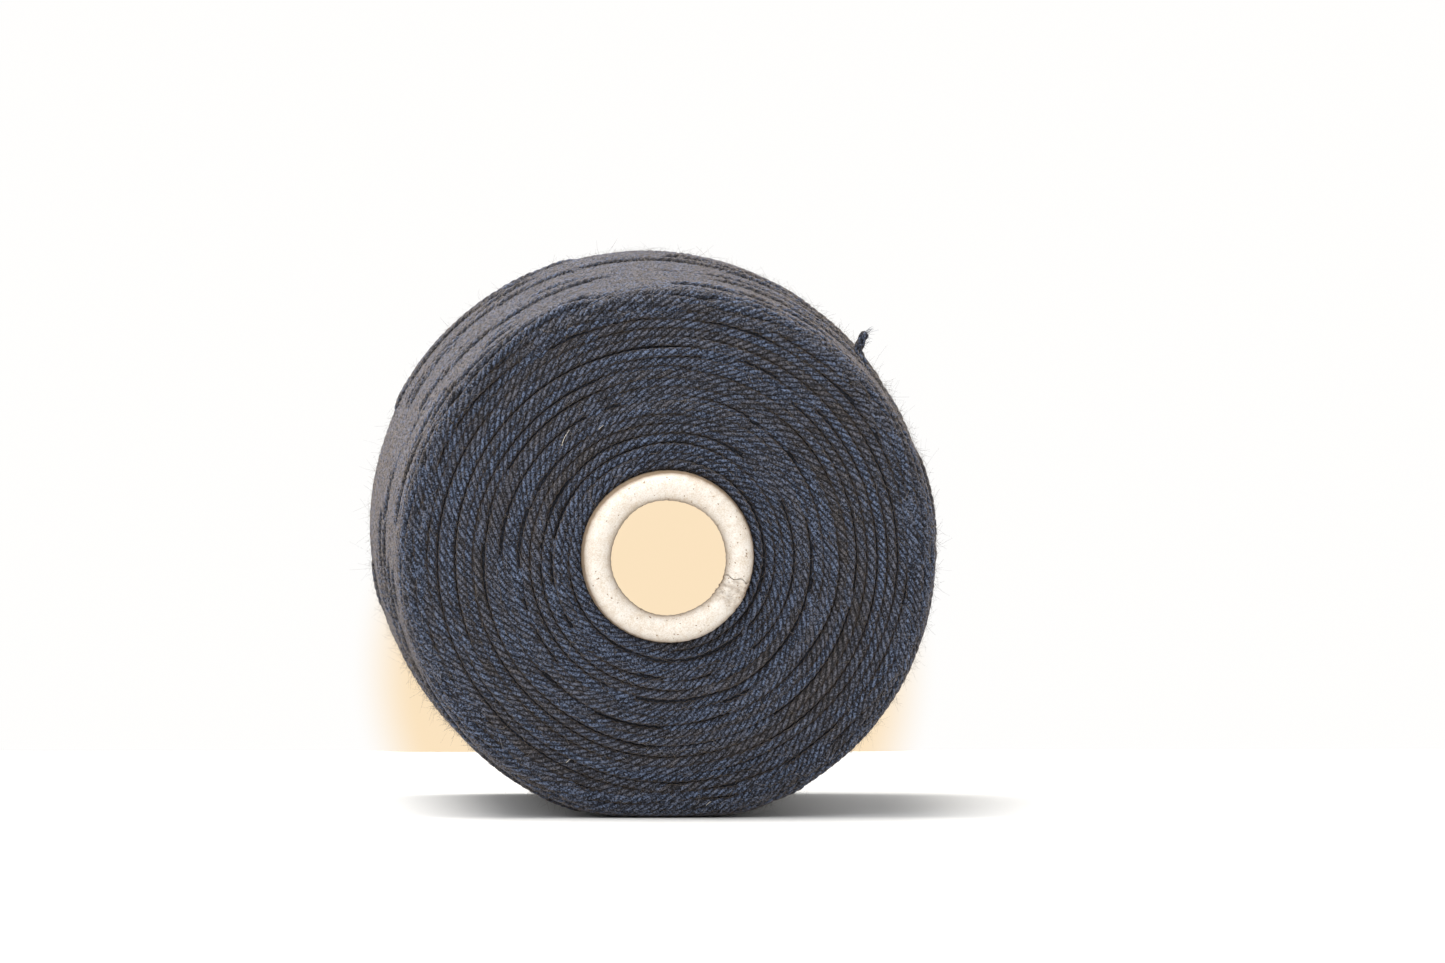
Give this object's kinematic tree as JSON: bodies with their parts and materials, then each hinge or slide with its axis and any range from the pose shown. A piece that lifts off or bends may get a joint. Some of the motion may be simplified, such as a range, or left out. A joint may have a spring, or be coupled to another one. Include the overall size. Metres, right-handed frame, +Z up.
{
  "type": "cone of yarn",
  "caption": "Cone of plied wool yarn: a tapered cross-wound package on a rolled-nose paper cone, lying on its side.",
  "frame": {"origin": "on the surface it lies on, under the middle of the object's box", "axes": "+Z up from the surface, +Y from the cone's nose towards its base (the axis itself rises 2.55 degrees towards the base), +X to the right seen from the nose"},
  "size_m": [0.122, 0.1716, 0.1202],
  "materials": {
    "cone_wrap": "smooth calendered paper, faintly mottled",
    "cone_board": "raw grey-brown board",
    "cone_liner": "unbleached kraft paper",
    "yarn": "plied heather wool, charcoal with blue and brown fibres, slightly hairy"
  },
  "bodies": {
    "root": {"core_outer_wrap": "cone_wrap", "core_board_ply_1": "cone_board", "core_board_ply_2": "cone_board", "core_inner_liner": "cone_liner", "yarn_winding": "yarn", "yarn_start_turns": "yarn", "yarn_end": "yarn"}
  },
  "joints": []
}
